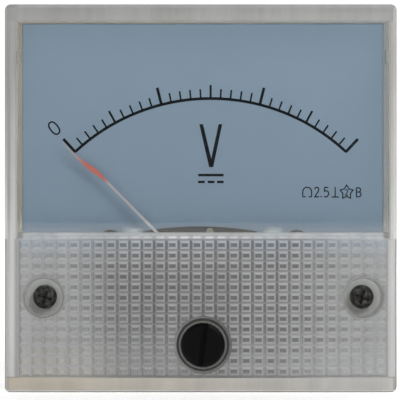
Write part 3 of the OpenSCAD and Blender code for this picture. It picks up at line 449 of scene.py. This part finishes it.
def resistor_material():
    """lacquer with colour bands along X"""
    g = Graph("resistor_lacquer")
    sep = g.n("ShaderNodeSeparateXYZ")
    g.l(g.tc.outputs["Object"], sep.inputs[0])
    x = g.rng(sep.outputs[0], -0.0044, 0.0026, 0.0, 1.0)
    base = lin(120, 160, 190)
    cols = [(0.0, base), (0.1, lin(120, 60, 30)), (0.19, base), (0.3, lin(20, 20, 20)), (0.38, base), (0.49, lin(200, 40, 30)), (0.57, base), (0.84, lin(120, 60, 30)), (0.92, base)]
    col = g.ramp(x, cols, "CONSTANT")
    fine = g.noise(2200, 3.0, 0.6)
    col = g.mixc(g.rng(fine, 0.3, 0.7, 0.0, 0.15), col, lin(60, 70, 80))
    p = g.principled(Base_Color=col, Roughness=g.rng(fine, 0.3, 0.7, 0.2, 0.35), Normal=g.bump(fine, 0.2, 0.00002))
    return g.done(p.outputs[0])


def pale_floor():
    g = Graph("floor_card")
    fine = g.noise(900, 4.0, 0.6)
    col = g.ramp(fine, [(0.3, (0.86, 0.86, 0.86, 1)), (0.7, (0.9, 0.9, 0.9, 1))])
    p = g.principled(Base_Color=col, Roughness=g.rng(fine, 0.3, 0.7, 0.7, 0.8), Normal=g.bump(fine, 0.05, 0.00002))
    p.inputs["Specular IOR Level"].default_value = 0.2
    p.inputs["Emission Color"].default_value = (1, 1, 1, 1)
    # the card glows a little more towards the horizon, so that it runs out into the backdrop
    ln = g.n("ShaderNodeVectorMath", operation="LENGTH")
    g.l(g.tc.outputs["Object"], ln.inputs[0])
    path = g.n("ShaderNodeLightPath")
    far = g.math("MULTIPLY", g.rng(ln.outputs["Value"], 0.08, 0.6, 0.0, 0.45), path.outputs["Is Camera Ray"])
    g.l(g.math("ADD", far, 0.52), p.inputs["Emission Strength"])
    return g.done(p.outputs[0])


DIAL_LOW = lin(137, 156, 175)
DIAL_HIGH = lin(145, 165, 184)

BRASS_D, BRASS_L = (0.42, 0.28, 0.11, 1), (0.62, 0.46, 0.22, 1)
STEEL_D, STEEL_L = (0.42, 0.42, 0.41, 1), (0.62, 0.62, 0.6, 1)

M = {
    "case": case_material(),
    "cover": cover_material(),
    "dial": dial_material(),
    "ink": ink_material(),
    "pointer": pointer_material(),
    "coil": coil_material(),
    "knob": knob_material(),
    "resistor": resistor_material(),
    "floor": pale_floor(),
    "black_steel": plain("black_steel", (0.012, 0.012, 0.011, 1), (0.04, 0.039, 0.034, 1), (0.35, 0.55), 0.4, 900, 5000, 0.4),
    "screw": screw_material(),
    "frame": plain("frame_moulding", (0.014, 0.009, 0.008, 1), (0.036, 0.022, 0.02, 1), (0.5, 0.7), 0.0, 260, 3600, 0.5),
    "iron": plain("soft_iron", (0.14, 0.14, 0.14, 1), (0.26, 0.26, 0.265, 1), (0.35, 0.55), 0.9, 350, 4200, 0.35, 0.00002, (1, 1, 0.15)),
    "magnet": plain("magnet_alloy", (0.09, 0.09, 0.1, 1), (0.17, 0.17, 0.18, 1), (0.45, 0.65), 0.85, 500, 3000, 0.6, 0.00003),
    "steel": turned("plated_steel", STEEL_D, STEEL_L, "Y"),
    "brass": turned("brass_parts", BRASS_D, BRASS_L, "Y", PIVOT),
    "brass_terminal": plain("terminal_brass", BRASS_D, BRASS_L, (0.2, 0.4), 1.0, 240, 5200, 0.2),
    "pale_brass": plain("pale_brass", (0.3, 0.28, 0.19, 1), (0.5, 0.48, 0.35, 1), (0.35, 0.5), 0.7, 500, 4200, 0.2),
    "nickel": turned("nickel_plate", (0.26, 0.25, 0.235, 1), (0.4, 0.385, 0.36, 1), "Y", PIVOT, (0.3, 0.45)),
    "tinned": plain("tinned_metal", (0.45, 0.44, 0.4, 1), (0.66, 0.65, 0.6, 1), (0.3, 0.5), 1.0, 400, 4200, 0.25),
    "alu": plain("aluminium_sheet", (0.6, 0.6, 0.61, 1), (0.74, 0.74, 0.75, 1), (0.25, 0.4), 1.0, 500, 5200, 0.2, 0.00001, (1, 0.1, 1)),
    "pivot": turned("pivot_steel", (0.45, 0.45, 0.46, 1), (0.62, 0.62, 0.63, 1), "Y", PIVOT, (0.1, 0.22)),
    "bronze": plain("spring_bronze", (0.4, 0.22, 0.08, 1), (0.6, 0.36, 0.15, 1), (0.2, 0.35), 1.0, 800, 5200, 0.15, 0.00001),
    "wire": plain("wire_cover", lin(120, 18, 14), lin(168, 32, 24), (0.3, 0.45), 0.0, 500, 4000, 0.2),
    "solder": plain("solder", (0.45, 0.45, 0.44, 1), (0.62, 0.62, 0.6, 1), (0.25, 0.5), 1.0, 1600, 5000, 0.5, 0.00003),
}

LOOK = {
    "rear_base": "case", "front_cover": "cover", "cover_screws": "screw", "dial_plate": "dial", "dial_screws": "black_steel",
    "movement_frame": "frame", "movement_screws": "steel", "pole_pieces": "iron", "magnet": "magnet", "iron_core": "iron",
    "core_bracket": "brass", "pole_screws": "steel", "front_bridge": "nickel", "front_bridge_screws": "steel", "rear_bridge": "brass",
    "rear_bridge_screws": "steel", "jewel_screws": "brass", "jewel_nuts": "brass", "spring_tag": "brass", "zero_corrector": "pale_brass",
    "zero_adjuster": "knob", "pointer": "pointer", "balance_weights": "brass", "coil_former": "alu", "moving_coil": "coil", "pivots": "pivot",
    "front_hairspring": "bronze", "rear_hairspring": "bronze", "terminal_studs": "brass_terminal", "terminal_washers": "tinned",
    "terminal_nuts": "brass_terminal", "solder_lugs": "tinned", "series_resistor": "resistor", "lead_wires": "wire",
    "mounting_studs": "brass_terminal", "mounting_washers": "tinned", "mounting_nuts": "brass_terminal",
}

BEVEL = {
    "rear_base": 0.00025, "movement_frame": 0.00018, "pole_pieces": 0.0002, "magnet": 0.00025, "cover_screws": 0.00008,
    "dial_screws": 0.00006, "movement_screws": 0.0001, "pole_screws": 0.0001, "front_bridge": 0.00006, "rear_bridge": 0.00008,
    "front_bridge_screws": 0.00008, "rear_bridge_screws": 0.0001, "terminal_washers": 0.00012, "terminal_nuts": 0.00008,
    "mounting_washers": 0.0001, "mounting_nuts": 0.00008, "zero_adjuster": 0.00012, "solder_lugs": 0.00006, "iron_core": 0.0001,
}

for name, ob in NODES.items():
    me = ob.data
    if not me.materials:
        me.materials.append(M[LOOK[name]])
    for i in range(len(me.materials)):
        me.materials[i] = M[LOOK[name]]
    if name in BEVEL:
        b = ob.modifiers.new("edge", "BEVEL")
        b.width = BEVEL[name]
        b.segments = 2
        b.limit_method = "ANGLE"
        b.angle_limit = math.radians(40)
        b.use_clamp_overlap = True
        b.harden_normals = False


# ------------------------------------------------------------------ geometry helpers

def obj_from_bm(name, bm, mat, body="case", smooth=False):
    bmesh.ops.recalc_face_normals(bm, faces=bm.faces)
    me = bpy.data.meshes.new(name)
    bm.to_mesh(me)
    bm.free()
    me.materials.append(mat)
    if smooth:
        for p in me.polygons:
            p.use_smooth = True
    ob = bpy.data.objects.new(name, me)
    bpy.context.scene.collection.objects.link(ob)
    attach(ob, body)
    return ob


def row(x, y, zf):
    """face coordinates in mm to the row frame in metres"""
    return Vector((x * MM, y * MM, (zf + RISE) * MM))


def seen(px, py, y=Y_DIAL):
    """face coordinates (mm) of the point at depth y that the camera sees at picture place px, py"""
    k = (CAM_D + (y - Y_FRONT)) / CAM_D
    return (-0.13 + (px - 200.0) * PX * k, -0.26 + (200.0 - py) * PX * k)


def add_strip(bm, pts, width, y0, y1, closed=False):
    """a flat ribbon of one width along pts (face mm), between depths y0 and y1, with mitred corners"""
    n = len(pts)
    left, right = [], []
    for i in range(n):
        p = Vector(pts[i])
        a = Vector(pts[(i - 1) % n]) if (closed or i > 0) else None
        b = Vector(pts[(i + 1) % n]) if (closed or i < n - 1) else None
        d1 = (p - a).normalized() if a is not None else (b - p).normalized()
        d2 = (b - p).normalized() if b is not None else d1
        t = (d1 + d2)
        t = t.normalized() if t.length > 1e-6 else d1
        nrm = Vector((-t.y, t.x))
        n1 = Vector((-d1.y, d1.x))
        c = max(0.35, nrm.dot(n1))
        off = nrm * (width / 2 / c)
        left.append(p + off)
        right.append(p - off)
    vs = {}
    for k, (side, y) in enumerate(((left, y0), (right, y0), (left, y1), (right, y1))):
        vs[k] = [bm.verts.new(row(q.x, y, q.y)) for q in side]
    m = n if closed else n - 1
    for i in range(m):
        j = (i + 1) % n
        bm.faces.new((vs[0][i], vs[0][j], vs[1][j], vs[1][i]))
        bm.faces.new((vs[2][i], vs[3][i], vs[3][j], vs[2][j]))
        bm.faces.new((vs[0][i], vs[2][i], vs[2][j], vs[0][j]))
        bm.faces.new((vs[1][i], vs[1][j], vs[3][j], vs[3][i]))
    if not closed:
        for i in (0, n - 1):
            bm.faces.new((vs[0][i], vs[1][i], vs[3][i], vs[2][i]))


def add_poly(bm, pts, y0, y1):
    front = [bm.verts.new(row(x, y0, z)) for x, z in pts]
    back = [bm.verts.new(row(x, y1, z)) for x, z in pts]
    bm.faces.new(front)
    bm.faces.new(list(reversed(back)))
    n = len(pts)
    for i in range(n):
        j = (i + 1) % n
        bm.faces.new((front[i], back[i], back[j], front[j]))


INK0, INK1 = Y_DIAL - 0.02, Y_DIAL + 0.01


def seen_all(pts):
    return [seen(x, y) for x, y in pts]


# ------------------------------------------------------------------ dial print

CX, CY, CR = 210.6, 297.06, 198.4     # arc in picture units
HALF, STEP = 42.95, 85.9 / 30


def polar(r, deg):
    a = math.radians(deg)
    return (CX + r * math.sin(a), CY - r * math.cos(a))


def scale_print():
    bm = bmesh.new()
    arc = [seen(*polar(CR, -HALF + i * 2 * HALF / 120)) for i in range(121)]
    add_strip(bm, arc, 2.9 * PX, INK0, INK1)
    for i in range(31):
        deg = -HALF + i * STEP
        if i % 10 == 0:
            length, w = 17.5, 2.9
        elif i % 5 == 0:
            length, w = 13.5, 2.2
        else:
            length, w = 9.6, 1.75
        add_strip(bm, [seen(*polar(CR - 0.6, deg)), seen(*polar(CR + length, deg))], w * PX, INK0, INK1)
    return obj_from_bm("scale_print", bm, M["ink"], "case")


def zero_print():
    bm = bmesh.new()
    cx, cy, a, b, rot = 54.4, 128.2, 3.9, 6.9, math.radians(-38)
    pts = []
    for i in range(28):
        t = i / 28 * 2 * math.pi
        # a rounded oblong
        u, v = a * math.copysign(abs(math.cos(t)) ** 0.8, math.cos(t)), b * math.copysign(abs(math.sin(t)) ** 0.9, math.sin(t))
        x, y = u * math.cos(rot) - v * math.sin(rot), u * math.sin(rot) + v * math.cos(rot)
        pts.append(seen(cx + x, cy + y))
    add_strip(bm, pts, 1.6 * PX, INK0, INK1, True)
    return obj_from_bm("zero_print", bm, M["ink"], "case")


def unit_print():
    bm = bmesh.new()
    add_poly(bm, seen_all([(199.3, 124.3), (203.0, 124.3), (211.2, 158.6), (211.2, 167.2), (209.1, 167.2)]), INK0, INK1)
    add_poly(bm, seen_all([(211.2, 167.2), (211.2, 158.6), (218.6, 124.3), (222.2, 124.3), (213.2, 167.2)]), INK0, INK1)
    add_poly(bm, seen_all([(198.1, 173.8), (223.6, 173.8), (223.6, 176.4), (198.1, 176.4)]), INK0, INK1)
    for x0, x1 in ((198.1, 204.8), (207.7, 214.5), (217.0, 223.6)):
        add_poly(bm, seen_all([(x0, 180.7), (x1, 180.7), (x1, 183.2), (x0, 183.2)]), INK0, INK1)
    return obj_from_bm("unit_print", bm, M["ink"], "case")


def class_print():
    """usual generic marks: moving coil, accuracy, upright use, test voltage, surroundings group"""
    bm = bmesh.new()
    w = 1.15 * PX

    def s(pts, closed=False, width=w):
        add_strip(bm, seen_all(pts), width, INK0, INK1, closed)

    # moving-coil sign
    arch = [(302.6, 196.8), (302.6, 192.0)] + [(307 - 4.4 * math.cos(t), 191.6 - 4.4 * math.sin(t)) for t in [i * math.pi / 8 for i in range(9)]] + [(311.4, 192.0), (311.4, 196.8)]
    s(arch)
    s([(302.4, 196.8), (305.6, 196.8)])
    s([(308.4, 196.8), (311.6, 196.8)])
    # 2.5
    s([(314.6, 189.4), (315.1, 187.9), (316.7, 187.2), (318.3, 188.0), (318.7, 189.6), (317.9, 191.6), (314.6, 196.9), (319.0, 196.9)])
    s([(320.9, 196.0), (320.9, 197.4)], width=1.3 * PX)
    s([(328.2, 187.4), (324.6, 187.4), (324.2, 191.3), (326.4, 190.7), (328.0, 191.8), (328.4, 193.9), (327.4, 196.2), (325.6, 197.0), (323.8, 196.2)])
    # upright use
    s([(335.0, 187.0), (335.0, 196.6)])
    s([(331.4, 197.0), (338.6, 197.0)])
    # test-voltage star
    star = []
    for i in range(10):
        r = 7.3 if i % 2 == 0 else 4.2
        a = math.radians(36 * i)
        star.append((346.4 + r * 0.93 * math.sin(a), 192.3 - r * math.cos(a)))
    s(star, True)
    s([(345.0, 190.6), (346.0, 189.6), (347.4, 190.1), (347.6, 191.4), (345.1, 195.2), (347.9, 195.2)], width=0.95 * PX)
    # group letter
    s([(356.2, 187.6), (356.2, 197.0)])
    s([(356.2, 187.8), (358.9, 187.8), (360.2, 188.8), (360.2, 190.9), (358.9, 192.0), (356.2, 192.0)])
    s([(358.9, 192.0), (360.6, 193.1), (360.6, 195.6), (359.0, 196.8), (356.2, 196.8)])
    return obj_from_bm("class_print", bm, M["ink"], "case")


scale_print()
zero_print()
unit_print()
class_print()


# ------------------------------------------------------------------ threads and back-side detail

def thread_piece(name, spans, segs=40, per_turn=1, mat=None):
    """threaded rods along Y as one mesh. spans: (x, z, y0, y1, crest, root, pitch), row mm"""
    bm = bmesh.new()
    for x, z, y0, y1, crest, root, pitch in spans:
        rings = []
        step = pitch / 8.0
        n = int((y1 - y0) / step)
        for i in range(n + 1):
            y = y0 + (y1 - y0) * i / n
            ring = []
            for k in range(segs):
                a = 2 * math.pi * k / segs
                ph = ((y / pitch) - k / segs) % 1.0
                tri = 1 - abs(2 * ph - 1)
                tri = min(1.0, max(0.0, (tri - 0.12) / 0.72))
                edge = min(1.0, (y - y0) / 0.5, (y1 - y) / 0.5)
                r = root + (crest - root) * tri * max(0.0, edge)
                ring.append(bm.verts.new(Vector(((x + r * math.sin(a)) * MM, y * MM, (z + r * math.cos(a)) * MM))))
            rings.append(ring)
        for i in range(len(rings) - 1):
            for k in range(segs):
                bm.faces.new((rings[i][k], rings[i][(k + 1) % segs], rings[i + 1][(k + 1) % segs], rings[i + 1][k]))
        bm.faces.new(rings[0])
        bm.faces.new(list(reversed(rings[-1])))
    return obj_from_bm(name, bm, mat, "case", True)


def hex_block(bm, x, z, y0, y1, across):
    """hexagon bar along Y, corners eased"""
    r = across / math.cos(math.pi / 6) / 2
    rings = []
    for y, k in ((y0, 0.93), (y0 + 0.2, 1.0), (y1 - 0.2, 1.0), (y1, 0.93)):
        rings.append([bm.verts.new(Vector(((x + r * k * math.sin(i * math.pi / 3)) * MM, y * MM, (z + r * k * math.cos(i * math.pi / 3)) * MM))) for i in range(6)])
    for a, b in zip(rings, rings[1:]):
        for i in range(6):
            bm.faces.new((a[i], a[(i + 1) % 6], b[(i + 1) % 6], b[i]))
    bm.faces.new(rings[0])
    bm.faces.new(list(reversed(rings[-1])))


def terminal_rods():
    """M4 studs: hexagon head inside, threaded rod, groove behind the outer nut, chamfered end"""
    bm = bmesh.new()
    segs, pitch = 48, 0.7
    for s in (-1, 1):
        cx = s * 11.0
        hex_block(bm, cx, 0.0, 22.4, 24.9, 7.0)
        rings = []
        y = 24.8
        while y <= 43.0 + 1e-6:
            ring = []
            for k in range(segs):
                ph = ((y / pitch) - k / segs) % 1.0
                tri = min(1.0, max(0.0, (1 - abs(2 * ph - 1) - 0.12) / 0.7))
                edge = min(1.0, max(0.0, (y - 24.8) / 0.4))
                r = 1.66 + 0.335 * tri * edge
                if 35.1 < y < 35.8:
                    r = min(r, 1.7)
                if y > 42.5:
                    r = min(r, 1.99 - (y - 42.5) * 0.8)
                ring.append(bm.verts.new(Vector(((cx + r * math.sin(2 * math.pi * k / segs)) * MM, y * MM, r * math.cos(2 * math.pi * k / segs) * MM))))
            rings.append(ring)
            y += pitch / 10
        for a, b in zip(rings, rings[1:]):
            for k in range(segs):
                bm.faces.new((a[k], a[(k + 1) % segs], b[(k + 1) % segs], b[k]))
        bm.faces.new(rings[0])
        bm.faces.new(list(reversed(rings[-1])))
    ob = obj_from_bm("terminal_thread", bm, M["brass_terminal"], "case", False)
    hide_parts("terminal_studs")
    return ob


terminal_rods()

thread_piece("mounting_thread", [(s * 26.0, -21.0, 2.2, 14.5, 1.49, 1.2, 0.5) for s in (-1, 1)], 36, mat=M["brass_terminal"])


# ------------------------------------------------------------------ stage, light and camera

def stage():
    lo = CAD_BOX[0]
    me = bpy.data.meshes.new("floor")
    s = 3.0
    z = lo[2] - 0.0001
    me.from_pydata([(-s, -s, z), (s, -s, z), (s, s, z), (-s, s, z)], [], [(0, 1, 2, 3)])
    me.materials.append(M["floor"])
    ob = bpy.data.objects.new("floor", me)
    bpy.context.scene.collection.objects.link(ob)


def area(name, loc, target, size, power, color=(1, 1, 1), size_y=None):
    d = bpy.data.lights.new(name, "AREA")
    d.energy = power
    d.size = size
    if size_y:
        d.shape = "RECTANGLE"
        d.size_y = size_y
    d.color = color
    o = bpy.data.objects.new(name, d)
    bpy.context.scene.collection.objects.link(o)
    o.location = loc
    o.rotation_euler = (Vector(target) - Vector(loc)).to_track_quat("-Z", "Y").to_euler()
    return o


stage()
world = bpy.data.worlds.new("studio")
bpy.context.scene.world = world
world.use_nodes = True
wn = world.node_tree
bg = wn.nodes["Background"]
bg.inputs["Color"].default_value = (1, 1, 1, 1)
bg.inputs["Strength"].default_value = 0.19
# the room straight in front of the face is dark, so the window doesn't veil the dial
wtc = wn.nodes.new("ShaderNodeTexCoord")
wsep = wn.nodes.new("ShaderNodeSeparateXYZ")
wmap = wn.nodes.new("ShaderNodeMapRange")
wmap.interpolation_type = "SMOOTHSTEP"
for i, v in enumerate((0.0, -0.7, -0.96, 0.2, 0.03)):
    if i:
        wmap.inputs[i].default_value = v
wn.links.new(wtc.outputs["Generated"], wsep.inputs[0])
wn.links.new(wsep.outputs[1], wmap.inputs[0])
wn.links.new(wmap.outputs[0], bg.inputs["Strength"])
lp = wn.nodes.new("ShaderNodeLightPath")
bg2 = wn.nodes.new("ShaderNodeBackground")
bg2.inputs["Color"].default_value = (1, 1, 1, 1)
bg2.inputs["Strength"].default_value = 1.05
mx = wn.nodes.new("ShaderNodeMixShader")
wn.links.new(lp.outputs["Is Camera Ray"], mx.inputs[0])
wn.links.new(bg.outputs[0], mx.inputs[1])
wn.links.new(bg2.outputs[0], mx.inputs[2])
wn.links.new(mx.outputs[0], wn.nodes["World Output"].inputs["Surface"])

area("key", (0.34, -0.42, 0.44), (0, 0, 0.005), 0.28, 1.7)
area("fill", (-0.5, -0.55, 0.15), (0, 0, 0.0), 0.5, 0.84)
area("back", (0.1, 0.6, 0.6), (0, 0.01, 0.0), 0.6, 2.8)

cam = bpy.data.cameras.new("cam")
cam.sensor_width = 36.0
cam.lens = 36.0 * CAM_D / (400 * PX)
cam.clip_start = 0.01
cam.clip_end = 10
co = bpy.data.objects.new("cam", cam)
bpy.context.scene.collection.objects.link(co)
co.location = (-0.00013, (Y_FRONT - CAM_D) * MM, (RISE - 0.26) * MM)
co.rotation_euler = (math.radians(90), 0, 0)
sc = bpy.context.scene
sc.camera = co
sc.view_settings.view_transform = "Standard"
sc.view_settings.look = "None"
